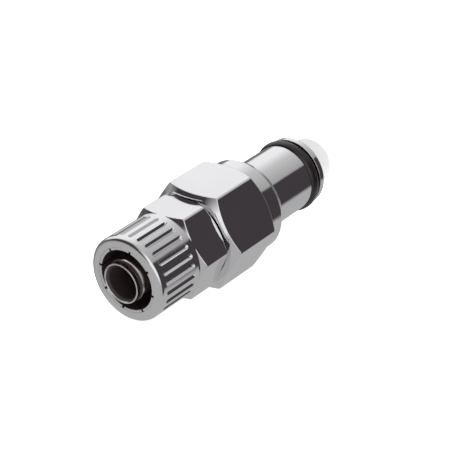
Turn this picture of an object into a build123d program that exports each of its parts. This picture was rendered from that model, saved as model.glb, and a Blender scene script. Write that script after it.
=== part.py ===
"""Valved coupling insert with a clamp nut for plastic tube, 9.5 mm outside, 6.35 mm inside.

Millimetres. +X runs along the axis from the nut to the valve tip. +Z is the normal of the
body hexagon's top flat. The origin is on the axis, in the plane of the nut's front face.
Angles about the axis are counted from +Y towards +Z.
"""

import math
import os

from build123d import *

# Tube that the fitting takes
TUBE_OUTER_R = 9.525 / 2
TUBE_INNER_R = 6.35 / 2

# Screw thread between the nut and the stem
THREAD_PITCH = 1.0
THREAD_CREST_R = 5.75
THREAD_DEPTH = 0.45
THREAD_FLANK_DEG = 30.0
THREAD_ROOT_FLAT = 0.12
RUNNING_GAP = 0.10

# Clamp nut
NUT_REAR_X = 14.70
NUT_BARREL_R = 6.815
NUT_MOUTH_R = 5.30
NUT_MOUTH_END_X = 1.5
NUT_CONE_END_X = 2.2
NUT_EDGE_ROUND = 0.60
NUT_HEX_FLATS = 13.65
NUT_HEX_START_X = 8.80
NUT_HEX_TURN_DEG = -3.6
NUT_HEX_SLOPE = 0.57
NUT_REAR_LAND = 0.05
NUT_THREAD_START_X = 8.2
NUT_THREAD_DEPTH = 0.30

# Finger flutes on the nut's barrel
FLUTE_COUNT = 27
FLUTE_START_X = 1.15
FLUTE_END_X = 7.75
FLUTE_DEPTH = 0.32
FLUTE_FLOOR_WIDTH = 0.08
FLUTE_WALL_DEG = 42.0
FLUTE_FIRST_DEG = 90.2

# Slotted grip ring, whose petals line the nut's mouth
RING_FRONT_X = 0.02
RING_INNER_R = TUBE_OUTER_R + 0.09
RING_SLEEVE_R = NUT_MOUTH_R - 0.03
RING_CONE_GAP = 0.10
RING_EDGE_ROUND = 0.08
RING_REAR_X = 5.6
RING_SLOTS = 8
RING_SLOT_WIDTH = 0.40
RING_SLOT_LENGTH = 3.6
RING_SLOT_FIRST_DEG = -34.0

# Tube stem
STEM_TIP_X = -1.22
STEM_TIP_R = TUBE_INNER_R + 0.055
STEM_TIP_ROUND = 0.06
STEM_BORE_R = 2.70
COUNTERSINK_R = 3.02
COUNTERSINK_DEPTH = 0.50
STEM_GUIDE_X = 14.0
STEM_GUIDE_R = 2.90
STEM_ROOT_R = TUBE_INNER_R - 0.10
BARB_START_X = -0.19
BARB_X = 0.15
BARB_R = 3.41
BARB_CREST = 0.08
BARB_END_X = 0.95
TUBE_STOP_X = 6.6
STEM_THREAD_START_X = 7.0
STEM_THREAD_END_X = 13.9
STEM_THREAD_LEAD = 0.45
STEM_NECK_R = 5.25
STEM_NECK_SLOPE = 0.3
STEM_FLANGE_SLOPE = 0.2
STEM_END_CHAMFER = 0.3
STEM_REAR_X = 22.90
STEM_PILOT_R = 5.55
STEM_SEAL_X = 21.3
STEM_SEAL_SECTION_R = 0.53
SEAL_SIDE_ROOM = 0.15

# Coupling body
BODY_FRONT_X = 14.92
BODY_HEX_FLATS = 15.875
BODY_HEX_REAR_CORNER_X = 24.03
BODY_HEX_FRONT_CORNER_X = 15.92
BODY_FRONT_SLOPE = 0.70
BODY_REAR_SLOPE = 0.80
BODY_REAR_OVERLAP = 0.3
HEX_EDGE_ROUND = 0.55
CHAMFER_EDGE_ROUND = 0.18
COLLAR_R = 7.65
COLLAR_END_X = 27.75
SHOULDER_X = 28.90
SHOULDER_R = 6.95
NOSE_R = 5.61
NOSE_FRONT_X = 41.90
FLANGE_R = 5.75
FLANGE_START_X = 40.80
GROOVE_START_X = 38.55
GROOVE_R = 4.90
BODY_SOCKET_R = 6.45
BODY_SOCKET_END_X = 19.60
BODY_PILOT_R = STEM_PILOT_R + 0.05
CHAMBER_R = 4.95
SEAT_X = 36.70
MOUTH_R = 4.40
MOUTH_CHAMFER = 0.2
COLLAR_ROUND = 0.10
SHOULDER_ROUND = 0.12
GROOVE_ROUND = 0.10
NOSE_FRONT_ROUND = 0.25

# Nose seal, squeezed to an oval section against the rear wall of its groove
NOSE_SEAL_OUTER_R = 6.04
NOSE_SEAL_WIDTH = 1.80

# Valve poppet and its seal
POPPET_TIP_X = 46.70
POPPET_TIP_R = 4.15
POPPET_TIP_ROUND = 1.0
POPPET_TIP_START_X = 40.60
POPPET_TIP_SLOPE = 0.8
POPPET_TIP_DRAFT = 0.25
POPPET_NECK_R = 3.0
POPPET_HEAD_R = 4.70
POPPET_HEAD_REAR_X = 34.60
POPPET_HEAD_ROUND = 0.3
POPPET_SEAL_SECTION_R = 0.57
POPPET_SEAL_R = 4.19
POPPET_LIP_R = 4.05
POPPET_LIP_WIDTH = 0.4
POPPET_LIP_SLOPE = 0.8
POPPET_SEAL_ROOM = 0.05
WING_R = STEM_GUIDE_R - 0.20
WING_THICKNESS = 0.9
WING_COUNT = 4
WING_FIRST_DEG = 45
WING_REAR_X = 18.5

# Return spring
SPRING_R = 3.55
SPRING_WIRE_R = 0.30
SPRING_COILS = 6
TOUCH_GAP = 0.02

# How far a cutting shape reaches past the face that it opens
CUT_PAST = 1.0


def turned(points, rounds=()):
    """A solid turned about the axis from (x, radius) points, with some corners rounded."""
    outline = make_face(Polyline(*points, close=True))
    for corner, radius in rounds:
        nearest = outline.vertices().sort_by_distance((*corner, 0))[0]
        outline = fillet(nearest, radius)
    return revolve(outline, Axis.X)


def hexagon(across_flats, start_x, end_x, turn_deg):
    """A hexagonal bar along the axis with slightly rounded edges."""
    corner_r = across_flats / math.sqrt(3)
    outline = RegularPolygon(corner_r, 6, rotation=turn_deg)
    outline = fillet(outline.vertices(), HEX_EDGE_ROUND)
    return extrude(Plane.YZ.offset(start_x) * outline, end_x - start_x)


def chamfered(hexagonal, envelope):
    """A hexagonal bar with turned chamfers, its edges broken where they meet the flats."""
    shape = hexagonal & envelope
    chamfer_edges = shape.edges().filter_by(GeomType.HYPERBOLA)
    return fillet(chamfer_edges, CHAMFER_EDGE_ROUND)


def torus(ring_r, section_r, centre_x):
    """An O-ring round the axis."""
    return Plane.YZ.offset(centre_x) * Torus(ring_r, section_r)


def helical_cutter(radius, depth, start_x, length):
    """The V-shaped groove of a right-hand screw thread; positive depth cuts inwards."""
    path = Helix(THREAD_PITCH, length, radius, center=(start_x, 0, 0), direction=(1, 0, 0))
    begin = path @ 0
    outward = Vector(0, begin.Y, begin.Z).normalized()
    section_plane = Plane(origin=begin, x_dir=outward, z_dir=path % 0)
    side = math.copysign(1, depth)
    overlap = 0.08
    tip_half = THREAD_ROOT_FLAT / 2
    mouth_half = tip_half + (abs(depth) + overlap) * math.tan(math.radians(THREAD_FLANK_DEG))
    corners = [
        (side * overlap, -mouth_half),
        (side * overlap, mouth_half),
        (-depth, tip_half),
        (-depth, -tip_half),
    ]
    section = section_plane * make_face(Polyline(*corners, close=True))
    return sweep(section, path=path, is_frenet=True)


def flute_cutter():
    """One finger flute: a V-shaped groove along the barrel with cone-shaped ends."""
    overlap = 0.15
    floor_half = FLUTE_FLOOR_WIDTH / 2
    height = FLUTE_DEPTH + overlap
    spread = 1 / math.tan(math.radians(FLUTE_WALL_DEG))
    mouth_half = floor_half + FLUTE_DEPTH * spread
    top_half = floor_half + height * spread
    floor_r = NUT_BARREL_R - FLUTE_DEPTH
    first_x = FLUTE_START_X + mouth_half
    last_x = FLUTE_END_X - mouth_half
    section = Polyline(
        (floor_r, -floor_half),
        (floor_r, floor_half),
        (floor_r + height, top_half),
        (floor_r + height, -top_half),
        close=True,
    )
    cutter = extrude(Plane.YZ.offset(first_x) * make_face(section), last_x - first_x)
    for end_x in (first_x, last_x):
        end_cone = Rotation(-90, 0, 0) * Cone(floor_half, top_half, height)
        cutter += Pos(end_x, floor_r + height / 2, 0) * end_cone
    return cutter


def around_axis(shape, count, first_deg):
    """Copies of a shape spaced evenly about the axis."""
    step = 360 / count
    return [Rotation(first_deg + k * step, 0, 0) * shape for k in range(count)]


def compression_nut():
    bore_r = THREAD_CREST_R + RUNNING_GAP
    hex_corner_r = NUT_HEX_FLATS / math.sqrt(3)
    corner_rise = (hex_corner_r - NUT_BARREL_R) * NUT_HEX_SLOPE
    hex_rear_x = NUT_REAR_X - NUT_REAR_LAND
    barrel_end_x = NUT_HEX_START_X + corner_rise
    barrel = turned(
        [(0, 0), (0, NUT_BARREL_R), (barrel_end_x, NUT_BARREL_R), (barrel_end_x, 0)],
        rounds=[((0, NUT_BARREL_R), NUT_EDGE_ROUND)],
    )
    hex_envelope = turned(
        [
            (NUT_HEX_START_X, 0),
            (NUT_HEX_START_X, NUT_BARREL_R),
            (NUT_HEX_START_X + corner_rise, hex_corner_r),
            (hex_rear_x - corner_rise, hex_corner_r),
            (NUT_REAR_X, NUT_BARREL_R - NUT_REAR_LAND / NUT_HEX_SLOPE),
            (NUT_REAR_X, 0),
        ]
    )
    hex_bar = hexagon(NUT_HEX_FLATS, NUT_HEX_START_X, NUT_REAR_X, NUT_HEX_TURN_DEG)
    hex_part = chamfered(hex_bar, hex_envelope)
    hollow = turned(
        [
            (-CUT_PAST, 0),
            (-CUT_PAST, NUT_MOUTH_R),
            (NUT_MOUTH_END_X, NUT_MOUTH_R),
            (NUT_CONE_END_X, bore_r),
            (NUT_REAR_X + CUT_PAST, bore_r),
            (NUT_REAR_X + CUT_PAST, 0),
        ]
    )
    nut = barrel + hex_part - hollow
    nut -= around_axis(flute_cutter(), FLUTE_COUNT, FLUTE_FIRST_DEG)
    thread_length = NUT_REAR_X + THREAD_PITCH - NUT_THREAD_START_X
    nut -= helical_cutter(bore_r, -NUT_THREAD_DEPTH, NUT_THREAD_START_X, thread_length)
    return nut


def tube_grip_ring():
    cone_start_x = NUT_MOUTH_END_X + RING_CONE_GAP
    cone_end_x = NUT_CONE_END_X + RING_CONE_GAP
    rear_r = THREAD_CREST_R - RUNNING_GAP / 2
    ring = turned(
        [
            (RING_FRONT_X, RING_INNER_R),
            (RING_FRONT_X, RING_SLEEVE_R),
            (cone_start_x, RING_SLEEVE_R),
            (cone_end_x, rear_r),
            (RING_REAR_X, rear_r),
            (RING_REAR_X, RING_INNER_R),
        ],
        rounds=[((RING_FRONT_X, RING_INNER_R), RING_EDGE_ROUND)],
    )
    slot_box = Box(RING_SLOT_LENGTH, 2 * CUT_PAST, RING_SLOT_WIDTH)
    slot = Pos(RING_FRONT_X + RING_SLOT_LENGTH / 2, rear_r, 0) * slot_box
    return ring - around_axis(slot, RING_SLOTS, RING_SLOT_FIRST_DEG)


def tube_stem():
    socket_r = BODY_SOCKET_R - TOUCH_GAP
    seal_half = STEM_SEAL_SECTION_R + SEAL_SIDE_ROOM
    seal_floor_r = BODY_PILOT_R - 2 * STEM_SEAL_SECTION_R - 2 * TOUCH_GAP
    outline = [
        (STEM_TIP_X + COUNTERSINK_DEPTH, STEM_BORE_R),
        (STEM_TIP_X, COUNTERSINK_R),
        (STEM_TIP_X, STEM_TIP_R),
        (BARB_START_X, STEM_TIP_R),
        (BARB_X, BARB_R),
        (BARB_X + BARB_CREST, BARB_R),
        (BARB_END_X, STEM_ROOT_R),
        (TUBE_STOP_X, STEM_ROOT_R),
        (TUBE_STOP_X, THREAD_CREST_R - STEM_THREAD_LEAD),
        (TUBE_STOP_X + STEM_THREAD_LEAD, THREAD_CREST_R),
        (STEM_THREAD_END_X, THREAD_CREST_R),
        (STEM_THREAD_END_X + STEM_NECK_SLOPE, STEM_NECK_R),
        (BODY_FRONT_X, STEM_NECK_R),
        (BODY_FRONT_X + STEM_FLANGE_SLOPE, socket_r),
        (BODY_SOCKET_END_X, socket_r),
        (BODY_SOCKET_END_X, STEM_PILOT_R),
        (STEM_SEAL_X - seal_half, STEM_PILOT_R),
        (STEM_SEAL_X - seal_half, seal_floor_r),
        (STEM_SEAL_X + seal_half, seal_floor_r),
        (STEM_SEAL_X + seal_half, STEM_PILOT_R),
        (STEM_REAR_X - STEM_END_CHAMFER, STEM_PILOT_R),
        (STEM_REAR_X, STEM_PILOT_R - STEM_END_CHAMFER),
        (STEM_REAR_X, STEM_GUIDE_R),
        (STEM_GUIDE_X, STEM_GUIDE_R),
        (STEM_GUIDE_X, STEM_BORE_R),
    ]
    stem = turned(outline, rounds=[((STEM_TIP_X, STEM_TIP_R), STEM_TIP_ROUND)])
    thread_length = STEM_THREAD_END_X - STEM_THREAD_START_X + THREAD_PITCH
    return stem - helical_cutter(
        THREAD_CREST_R, THREAD_DEPTH, STEM_THREAD_START_X - THREAD_PITCH, thread_length
    )


def stem_seal():
    ring_r = BODY_PILOT_R - STEM_SEAL_SECTION_R - TOUCH_GAP
    return torus(ring_r, STEM_SEAL_SECTION_R, STEM_SEAL_X)


def body_hexagon():
    corner_r = BODY_HEX_FLATS / math.sqrt(3)
    front_face_r = corner_r - (BODY_HEX_FRONT_CORNER_X - BODY_FRONT_X) / BODY_FRONT_SLOPE
    rear_end_r = COLLAR_R - BODY_REAR_OVERLAP
    rear_end_x = BODY_HEX_REAR_CORNER_X + (corner_r - rear_end_r) * BODY_REAR_SLOPE
    envelope = turned(
        [
            (BODY_FRONT_X, 0),
            (BODY_FRONT_X, front_face_r),
            (BODY_HEX_FRONT_CORNER_X, corner_r),
            (BODY_HEX_REAR_CORNER_X, corner_r),
            (rear_end_x, rear_end_r),
            (rear_end_x, 0),
        ]
    )
    return chamfered(hexagon(BODY_HEX_FLATS, BODY_FRONT_X, rear_end_x, 0), envelope)


def insert_body():
    inner_x = BODY_SOCKET_END_X
    nose = turned(
        [
            (inner_x, 0),
            (inner_x, COLLAR_R),
            (COLLAR_END_X, COLLAR_R),
            (SHOULDER_X, SHOULDER_R),
            (SHOULDER_X, NOSE_R),
            (GROOVE_START_X, NOSE_R),
            (GROOVE_START_X, GROOVE_R),
            (FLANGE_START_X, GROOVE_R),
            (FLANGE_START_X, FLANGE_R),
            (NOSE_FRONT_X, FLANGE_R),
            (NOSE_FRONT_X, 0),
        ],
        rounds=[
            ((COLLAR_END_X, COLLAR_R), COLLAR_ROUND),
            ((SHOULDER_X, SHOULDER_R), SHOULDER_ROUND),
            ((GROOVE_START_X, NOSE_R), GROOVE_ROUND),
            ((FLANGE_START_X, FLANGE_R), GROOVE_ROUND),
            ((NOSE_FRONT_X, FLANGE_R), NOSE_FRONT_ROUND),
        ],
    )
    seat_rise = CHAMBER_R - MOUTH_R
    hollow = turned(
        [
            (BODY_FRONT_X - CUT_PAST, 0),
            (BODY_FRONT_X - CUT_PAST, BODY_SOCKET_R),
            (BODY_SOCKET_END_X, BODY_SOCKET_R),
            (BODY_SOCKET_END_X, BODY_PILOT_R),
            (STEM_REAR_X, BODY_PILOT_R),
            (STEM_REAR_X + (BODY_PILOT_R - CHAMBER_R), CHAMBER_R),
            (SEAT_X, CHAMBER_R),
            (SEAT_X + seat_rise, MOUTH_R),
            (NOSE_FRONT_X - MOUTH_CHAMFER, MOUTH_R),
            (NOSE_FRONT_X, MOUTH_R + MOUTH_CHAMFER),
            (NOSE_FRONT_X + CUT_PAST, MOUTH_R + MOUTH_CHAMFER),
            (NOSE_FRONT_X + CUT_PAST, 0),
        ]
    )
    return body_hexagon() + nose - hollow


def nose_o_ring():
    height = NOSE_SEAL_OUTER_R - GROOVE_R - TOUCH_GAP
    centre_x = GROOVE_START_X + TOUCH_GAP + NOSE_SEAL_WIDTH / 2
    centre_r = NOSE_SEAL_OUTER_R - height / 2
    section = Pos(centre_x, centre_r) * Ellipse(NOSE_SEAL_WIDTH / 2, height / 2)
    return revolve(section, Axis.X)


def poppet_seal_x():
    """Where the seal touches the 45 degree seat when the valve is shut."""
    reach = (POPPET_SEAL_SECTION_R + TOUCH_GAP) * math.sqrt(2)
    return SEAT_X + CHAMBER_R - POPPET_SEAL_R - reach


def valve_poppet():
    seal_half = POPPET_SEAL_SECTION_R + POPPET_SEAL_ROOM
    seal_floor_r = POPPET_SEAL_R - POPPET_SEAL_SECTION_R - TOUCH_GAP
    groove_start_x = poppet_seal_x() - seal_half
    groove_end_x = poppet_seal_x() + seal_half
    tip_end_r = POPPET_TIP_R - POPPET_TIP_DRAFT
    lip_end_x = groove_end_x + POPPET_LIP_WIDTH
    head = turned(
        [
            (POPPET_HEAD_REAR_X, 0),
            (POPPET_HEAD_REAR_X, POPPET_HEAD_R),
            (groove_start_x, POPPET_HEAD_R),
            (groove_start_x, seal_floor_r),
            (groove_end_x, seal_floor_r),
            (groove_end_x, POPPET_LIP_R),
            (lip_end_x, POPPET_LIP_R),
            (lip_end_x + POPPET_LIP_SLOPE, POPPET_NECK_R),
            (POPPET_TIP_START_X - POPPET_TIP_SLOPE, POPPET_NECK_R),
            (POPPET_TIP_START_X, POPPET_TIP_R),
            (POPPET_TIP_X, tip_end_r),
            (POPPET_TIP_X, 0),
        ],
        rounds=[
            ((POPPET_TIP_X, tip_end_r), POPPET_TIP_ROUND),
            ((POPPET_HEAD_REAR_X, POPPET_HEAD_R), POPPET_HEAD_ROUND),
        ],
    )
    wing_length = POPPET_HEAD_REAR_X - WING_REAR_X
    wing_middle = Pos(WING_REAR_X + wing_length / 2, 0, 0)
    wing = wing_middle * Pos(0, WING_R / 2, 0) * Box(wing_length, WING_R, WING_THICKNESS)
    wing_limit = wing_middle * Rotation(0, 90, 0) * Cylinder(WING_R, wing_length)
    wings = around_axis(wing, WING_COUNT, WING_FIRST_DEG)
    tail = wings[0] + wings[1:]
    return head + (tail & wing_limit)


def poppet_seal():
    return torus(POPPET_SEAL_R, POPPET_SEAL_SECTION_R, poppet_seal_x())


def valve_spring():
    start_x = STEM_REAR_X + SPRING_WIRE_R + TOUCH_GAP
    end_x = POPPET_HEAD_REAR_X - SPRING_WIRE_R - TOUCH_GAP
    length = end_x - start_x
    path = Helix(length / SPRING_COILS, length, SPRING_R, center=(start_x, 0, 0), direction=(1, 0, 0))
    section = Plane(origin=path @ 0, z_dir=path % 0) * Circle(SPRING_WIRE_R)
    return sweep(section, path=path, is_frenet=True)


NODES = {
    "compression_nut": compression_nut,
    "tube_grip_ring": tube_grip_ring,
    "tube_stem": tube_stem,
    "stem_seal": stem_seal,
    "insert_body": insert_body,
    "nose_o_ring": nose_o_ring,
    "valve_poppet": valve_poppet,
    "poppet_seal": poppet_seal,
    "valve_spring": valve_spring,
}

os.makedirs("parts", exist_ok=True)
for node, build in NODES.items():
    solid = build()
    export_step(solid, f"parts/{node}.step")
    size = solid.bounding_box().size
    print(node, round(solid.volume, 2), [round(v, 2) for v in size], len(solid.solids()))
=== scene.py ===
"""Looks for the valved coupling insert: chrome, nickel, rubber and acetal in a white studio.

Metres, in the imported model's frame: +X from the nut to the valve tip, +Z up, origin on the axis
in the plane of the nut's front face.
"""

import math

import bpy
from mathutils import Matrix, Vector


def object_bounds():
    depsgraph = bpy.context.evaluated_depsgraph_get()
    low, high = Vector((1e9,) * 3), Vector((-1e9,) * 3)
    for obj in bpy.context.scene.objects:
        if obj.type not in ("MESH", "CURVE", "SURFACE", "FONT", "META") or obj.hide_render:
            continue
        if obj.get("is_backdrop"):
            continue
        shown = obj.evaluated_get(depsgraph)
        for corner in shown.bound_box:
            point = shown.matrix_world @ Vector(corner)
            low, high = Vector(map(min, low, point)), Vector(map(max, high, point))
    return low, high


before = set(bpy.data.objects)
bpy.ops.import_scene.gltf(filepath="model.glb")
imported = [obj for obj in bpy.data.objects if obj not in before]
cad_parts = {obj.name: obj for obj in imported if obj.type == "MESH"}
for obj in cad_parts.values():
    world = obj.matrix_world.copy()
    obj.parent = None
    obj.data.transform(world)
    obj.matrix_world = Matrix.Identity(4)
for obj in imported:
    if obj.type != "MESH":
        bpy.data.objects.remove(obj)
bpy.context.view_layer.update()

MM = 0.001
SHADE_FADE = 0.05 * MM  # how quickly plating gives way to the painted shade inside a bore
# Painted shade for the bores: a dark, rough, non-metallic colour that stands in for the shade deep
# inside the nut, ring and stem.
BORE_SHADE_DARK = (0.042, 0.028, 0.030, 1.0)
BORE_SHADE_LIGHT = (0.060, 0.042, 0.044, 1.0)
BORE_SHADE_ROUGHNESS = 0.42


# ---------------------------------------------------------------- node helpers


class Nodes:
    """A short way to build a shader tree."""

    def __init__(self, tree):
        self.tree = tree
        tree.nodes.clear()

    def add(self, kind, **settings):
        node = self.tree.nodes.new(kind)
        for name, value in settings.items():
            setattr(node, name, value)
        return node

    def link(self, source, target):
        self.tree.links.new(source, target)

    def put(self, socket, value):
        if hasattr(value, "is_output"):
            self.link(value, socket)
        else:
            socket.default_value = value

    def math(self, operation, *values, clamp=False):
        node = self.add("ShaderNodeMath", operation=operation, use_clamp=clamp)
        for socket, value in zip(node.inputs, values):
            self.put(socket, value)
        return node.outputs[0]

    def mix(self, factor, a, b):
        node = self.add("ShaderNodeMix", data_type="RGBA")
        self.put(node.inputs[0], factor)
        self.put(node.inputs[6], a)
        self.put(node.inputs[7], b)
        return node.outputs[2]

    def ramp(self, factor, stops, interpolation="LINEAR"):
        node = self.add("ShaderNodeValToRGB")
        node.color_ramp.interpolation = interpolation
        elements = node.color_ramp.elements
        while len(elements) < len(stops):
            elements.new(0.5)
        for element, (position, colour) in zip(elements, stops):
            element.position = position
            element.color = (*colour, 1.0)
        self.put(node.inputs[0], factor)
        return node.outputs[0]

    def noise(self, coords, scale, detail=3.0, roughness=0.55):
        node = self.add("ShaderNodeTexNoise")
        self.link(coords, node.inputs["Vector"])
        node.inputs["Scale"].default_value = scale
        node.inputs["Detail"].default_value = detail
        node.inputs["Roughness"].default_value = roughness
        return node.outputs["Fac"]

    def remap(self, value, low, high, out_low, out_high):
        node = self.add("ShaderNodeMapRange")
        self.put(node.inputs[0], value)
        for socket, number in zip(node.inputs[1:5], (low, high, out_low, out_high)):
            self.put(socket, number)
        return node.outputs[0]

    def bump(self, height, strength, distance, under=None):
        node = self.add("ShaderNodeBump")
        node.inputs["Strength"].default_value = strength
        node.inputs["Distance"].default_value = distance
        self.link(height, node.inputs["Height"])
        if under is not None:
            self.link(under, node.inputs["Normal"])
        return node.outputs["Normal"]


def new_material(name):
    material = bpy.data.materials.new(name)
    material.use_nodes = True
    nodes = Nodes(material.node_tree)
    output = nodes.add("ShaderNodeOutputMaterial")
    shader = nodes.add("ShaderNodeBsdfPrincipled")
    nodes.link(shader.outputs[0], output.inputs[0])
    coords = nodes.add("ShaderNodeTexCoord").outputs["Object"]
    return material, nodes, shader, coords


# ---------------------------------------------------------------- materials


# Mask for the painted shade in the bores.
def bore_shade_mask(nodes, coords, start, radius, bore):
    """1 behind `start` and nearer the axis than `radius`, or anywhere within `bore`; else 0."""
    parts = nodes.add("ShaderNodeSeparateXYZ")
    nodes.link(coords, parts.inputs[0])
    across = nodes.add("ShaderNodeCombineXYZ")
    nodes.link(parts.outputs[1], across.inputs[1])
    nodes.link(parts.outputs[2], across.inputs[2])
    length = nodes.add("ShaderNodeVectorMath", operation="LENGTH")
    nodes.link(across.outputs[0], length.inputs[0])
    from_axis = length.outputs["Value"]
    behind = nodes.remap(parts.outputs[0], start, start + SHADE_FADE, 0.0, 1.0)
    within = nodes.remap(from_axis, radius - SHADE_FADE, radius, 1.0, 0.0)
    in_bore = nodes.remap(from_axis, bore - SHADE_FADE, bore, 1.0, 0.0)
    return nodes.math("MAXIMUM", nodes.math("MULTIPLY", behind, within), in_bore)


def plated_metal(name, colour, dark, roughness, wear, inside=None):
    """Plating over turned brass: turning lines, smudges, gentle waves, and painted shade in the
    bores.
    """
    material, nodes, shader, coords = new_material(name)
    smudge = nodes.noise(coords, 260.0, 4.0, 0.6)
    cloud = nodes.noise(coords, 90.0, 2.0)
    parts = nodes.add("ShaderNodeSeparateXYZ")
    nodes.link(coords, parts.inputs[0])
    along = nodes.add("ShaderNodeCombineXYZ")
    nodes.link(parts.outputs[0], along.inputs[0])
    lines = nodes.noise(along.outputs[0], 9000.0, 2.0, 0.7)
    tint = nodes.remap(cloud, 0.35, 0.65, 0.0, 1.0)
    plating = nodes.mix(tint, (*dark, 1.0), (*colour, 1.0))
    rough = nodes.remap(smudge, 0.35, 0.7, roughness, roughness + wear)
    metallic = 1.0
    # Painted shade: surfaces inside the bores turn dark, rough and non-metallic, standing in for the
    # shade there.
    if inside is not None:
        painted_shade = bore_shade_mask(nodes, coords, *inside)
        shade_colour = nodes.mix(tint, BORE_SHADE_DARK, BORE_SHADE_LIGHT)
        plating = nodes.mix(painted_shade, plating, shade_colour)
        rough = nodes.math("MAXIMUM", rough, nodes.math("MULTIPLY", painted_shade, BORE_SHADE_ROUGHNESS))
        metallic = nodes.math("SUBTRACT", 1.0, painted_shade)
    nodes.link(plating, shader.inputs["Base Color"])
    nodes.link(rough, shader.inputs["Roughness"])
    nodes.put(shader.inputs["Metallic"], metallic)
    waviness = nodes.bump(nodes.noise(coords, 420.0, 1.0), 1.0, 0.012 * MM)
    nodes.link(nodes.bump(lines, 0.06, 0.02 * MM, under=waviness), shader.inputs["Normal"])
    return material


def black_rubber():
    """Lightly greased nitrile rubber."""
    material, nodes, shader, coords = new_material("black_rubber")
    film = nodes.noise(coords, 500.0, 3.0)
    grain = nodes.noise(coords, 6000.0, 2.0)
    colour = nodes.ramp(film, [(0.3, (0.009, 0.006, 0.007)), (0.75, (0.020, 0.014, 0.016))])
    nodes.link(colour, shader.inputs["Base Color"])
    nodes.link(nodes.remap(film, 0.3, 0.7, 0.20, 0.34), shader.inputs["Roughness"])
    nodes.link(nodes.bump(grain, 0.15, 0.02 * MM), shader.inputs["Normal"])
    shader.inputs["Specular IOR Level"].default_value = 0.6
    return material


def white_acetal():
    """Moulded natural acetal, slightly translucent."""
    material, nodes, shader, coords = new_material("white_acetal")
    cloud = nodes.noise(coords, 350.0, 3.0)
    grain = nodes.noise(coords, 4200.0, 2.0)
    colour = nodes.ramp(cloud, [(0.3, (0.84, 0.84, 0.85)), (0.7, (0.90, 0.90, 0.91))])
    nodes.link(colour, shader.inputs["Base Color"])
    nodes.link(nodes.remap(grain, 0.3, 0.7, 0.32, 0.46), shader.inputs["Roughness"])
    nodes.link(nodes.bump(grain, 0.08, 0.02 * MM), shader.inputs["Normal"])
    shader.inputs["Subsurface Weight"].default_value = 0.35
    shader.inputs["Subsurface Radius"].default_value = (0.0012, 0.0012, 0.0012)
    shader.inputs["Subsurface Scale"].default_value = 1.0
    return material


def spring_steel():
    """Drawn wire with fine die lines."""
    material, nodes, shader, coords = new_material("spring_steel")
    streak = nodes.noise(coords, 2500.0, 3.0, 0.7)
    colour = nodes.ramp(streak, [(0.3, (0.42, 0.42, 0.43)), (0.7, (0.62, 0.62, 0.64))])
    nodes.link(colour, shader.inputs["Base Color"])
    nodes.link(nodes.remap(streak, 0.3, 0.7, 0.22, 0.40), shader.inputs["Roughness"])
    nodes.link(nodes.bump(streak, 0.12, 0.01 * MM), shader.inputs["Normal"])
    shader.inputs["Metallic"].default_value = 1.0
    return material


# Plating as (colour, darker colour, roughness, extra roughness where worn).
BRIGHT = ((0.86, 0.86, 0.875), (0.82, 0.815, 0.83), 0.035, 0.07)
WARM = ((0.80, 0.77, 0.76), (0.70, 0.67, 0.66), 0.07, 0.10)

# Painted shade in the bores as (where it starts along X, its outer radius, radius that is shaded
# throughout).
MOUTH_SHADE = (0.08 * MM, 6.0 * MM, 0.0)  # behind the front face, inside the nut and the ring
STEM_SHADE = (-0.55 * MM, 3.34 * MM, 2.98 * MM)  # all but the stem's rim and its barb's crest

CHROME = plated_metal("chrome", *BRIGHT)
# The nut, ring and stem get copies of the plating with painted shade in their bores.
NUT_CHROME = plated_metal("nut_chrome", *BRIGHT, inside=MOUTH_SHADE)
RING_CHROME = plated_metal("ring_chrome", *BRIGHT, inside=MOUTH_SHADE)
NICKEL = plated_metal("nickel", *WARM, inside=STEM_SHADE)
RUBBER = black_rubber()
ACETAL = white_acetal()
STEEL = spring_steel()

FINISHES = {
    "compression_nut": NUT_CHROME,
    "insert_body": CHROME,
    "tube_grip_ring": RING_CHROME,
    "tube_stem": NICKEL,
    "stem_seal": RUBBER,
    "nose_o_ring": RUBBER,
    "poppet_seal": RUBBER,
    "valve_poppet": ACETAL,
    "valve_spring": STEEL,
}
for node, finish in FINISHES.items():
    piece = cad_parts[node]
    piece.data.materials.clear()
    piece.data.materials.append(finish)

# ---------------------------------------------------------------- studio

FLOOR_SIZE = 3.0
FLOOR_GLOW = 0.80
BACKDROP_R = 1.4
BACKDROP_GLOW = 1.05


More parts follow.
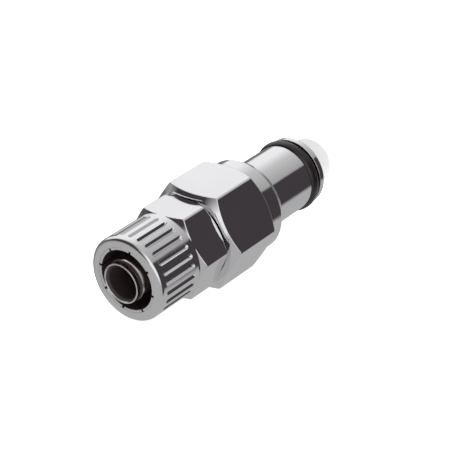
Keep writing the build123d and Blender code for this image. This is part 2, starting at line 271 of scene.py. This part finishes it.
def pale_floor(height):
    """A plain pale floor that the part lies on, marked as stage."""
    bpy.ops.mesh.primitive_plane_add(size=FLOOR_SIZE, location=(0, 0, height))
    floor = bpy.context.object
    floor.name = "studio_floor"
    material, nodes, shader, coords = new_material("floor_paper")
    fibre = nodes.noise(coords, 400.0, 3.0)
    nodes.link(
        nodes.ramp(fibre, [(0.3, (0.93, 0.93, 0.93)), (0.7, (0.95, 0.95, 0.95))]),
        shader.inputs["Base Color"],
    )
    shader.inputs["Roughness"].default_value = 0.9
    shader.inputs["Emission Color"].default_value = (1, 1, 1, 1)
    shader.inputs["Emission Strength"].default_value = FLOOR_GLOW
    floor.data.materials.append(material)
    floor.visible_glossy = False
    floor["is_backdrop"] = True


def pale_backdrop():
    """A paper dome behind the floor; only the camera sees it, so the lights pass through."""
    bpy.ops.mesh.primitive_uv_sphere_add(segments=48, ring_count=24, radius=BACKDROP_R)
    dome = bpy.context.object
    dome.name = "studio_backdrop"
    material, nodes, shader, coords = new_material("backdrop_paper")
    fibre = nodes.noise(coords, 30.0, 3.0)
    nodes.link(
        nodes.ramp(fibre, [(0.3, (0.98, 0.98, 0.98)), (0.7, (1.0, 1.0, 1.0))]),
        shader.inputs["Emission Color"],
    )
    shader.inputs["Base Color"].default_value = (0, 0, 0, 1)
    shader.inputs["Specular IOR Level"].default_value = 0.0
    shader.inputs["Emission Strength"].default_value = BACKDROP_GLOW
    dome.data.materials.append(material)
    dome.visible_diffuse = False
    dome.visible_glossy = False
    dome.visible_transmission = False
    dome.visible_volume_scatter = False
    dome.visible_shadow = False
    dome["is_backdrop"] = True


def grey(level):
    """A neutral colour of the given brightness."""
    return (level, level, level)


SOFT_BOX = grey(0.95)  # a long box overhead, brightest along its far edge
BOX_MIDDLE = grey(0.60)
BOX_NEAR_EDGE = grey(0.40)
CARD = grey(0.45)  # white cards low down
GAP = grey(0.20)  # unlit studio between the box and the cards
CLOTH = (0.055, 0.047, 0.051)  # black flags

# Light around the part, as (angle about +X from +Y towards +Z in degrees, what stands there).
AROUND = [
    (-180, CLOTH),
    (-150, CLOTH),
    (-140, CARD),
    (-45, CARD),
    (-35, GAP),
    (0, GAP),
    (10, SOFT_BOX),
    (50, SOFT_BOX),
    (85, BOX_MIDDLE),
    (135, BOX_NEAR_EDGE),
    (140, CLOTH),
    (180, CLOTH),
]
CAMERA_SIDE = [
    (-180, SOFT_BOX),
    (-160, CARD),
    (-40, CARD),
    (0, CLOTH),
    (70, CLOTH),
    (120, SOFT_BOX),
    (180, SOFT_BOX),
]
FAR_END = [
    (-180, GAP),
    (180, GAP),
]

# Where, along X, each stretch of the studio gives way to the next.
STUDIO = [
    (None, CAMERA_SIDE),
    ((-0.50, -0.10), AROUND),
    ((0.85, 0.95), FAR_END),
]


def studio_light():
    """A plain studio: one soft box overhead, one beside the camera, cards below, black flags."""
    world = bpy.data.worlds.new("studio")
    world.use_nodes = True
    bpy.context.scene.world = world
    nodes = Nodes(world.node_tree)
    output = nodes.add("ShaderNodeOutputWorld")
    background = nodes.add("ShaderNodeBackground")
    nodes.link(background.outputs[0], output.inputs[0])
    direction = nodes.add("ShaderNodeTexCoord").outputs["Generated"]
    parts = nodes.add("ShaderNodeSeparateXYZ")
    nodes.link(direction, parts.inputs[0])
    x, y, z = parts.outputs
    turn = nodes.remap(nodes.math("ARCTAN2", z, y), -math.pi, math.pi, 0.0, 1.0)
    light = None
    for blend, boxes in STUDIO:
        stops = [((angle + 180) / 360, colour) for angle, colour in boxes]
        ring = nodes.ramp(turn, stops)
        if blend is None:
            light = ring
        else:
            light = nodes.mix(nodes.remap(x, *blend, 0.0, 1.0), light, ring)
    nodes.link(light, background.inputs[0])


SOFT_LAMP_FROM = (0.30, -0.20, 0.85)
SOFT_LAMP_POWER = 1.20
SOFT_LAMP_SPREAD = math.radians(60)


def soft_lamp():
    """A broad lamp that whitens the matt pieces; reflections don't see it."""
    lamp_data = bpy.data.lights.new("soft_lamp", "SUN")
    lamp_data.energy = SOFT_LAMP_POWER
    lamp_data.angle = SOFT_LAMP_SPREAD
    lamp = bpy.data.objects.new("soft_lamp", lamp_data)
    bpy.context.scene.collection.objects.link(lamp)
    lamp.rotation_euler = Vector(SOFT_LAMP_FROM).to_track_quat("Z", "Y").to_euler()
    lamp.visible_glossy = False


studio_light()
soft_lamp()
pale_floor(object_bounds()[0][2])
pale_backdrop()

# ---------------------------------------------------------------- camera

CAMERA_PLACE = Vector((-155.20, -144.78, 131.10)) * MM
CAMERA_RIGHT = Vector((0.61686, -0.78674, -0.02291))
CAMERA_UP = Vector((0.40782, 0.29459, 0.86424))
CAMERA_LENS = 133.38
SENSOR = 36.0


def photo_camera():
    camera_data = bpy.data.cameras.new("photo_camera")
    camera_data.lens = CAMERA_LENS
    camera_data.sensor_width = SENSOR
    camera_data.sensor_fit = "HORIZONTAL"
    camera_data.clip_start = 0.01
    camera_data.clip_end = 10.0
    camera = bpy.data.objects.new("photo_camera", camera_data)
    bpy.context.scene.collection.objects.link(camera)
    right = CAMERA_RIGHT.normalized()
    up = (CAMERA_UP - right * CAMERA_UP.dot(right)).normalized()
    back = right.cross(up)
    turn = Matrix((right, up, back)).transposed().to_4x4()
    camera.matrix_world = Matrix.Translation(CAMERA_PLACE) @ turn
    bpy.context.scene.camera = camera


photo_camera()

view = bpy.context.scene.view_settings
view.view_transform = "Standard"
view.look = "None"
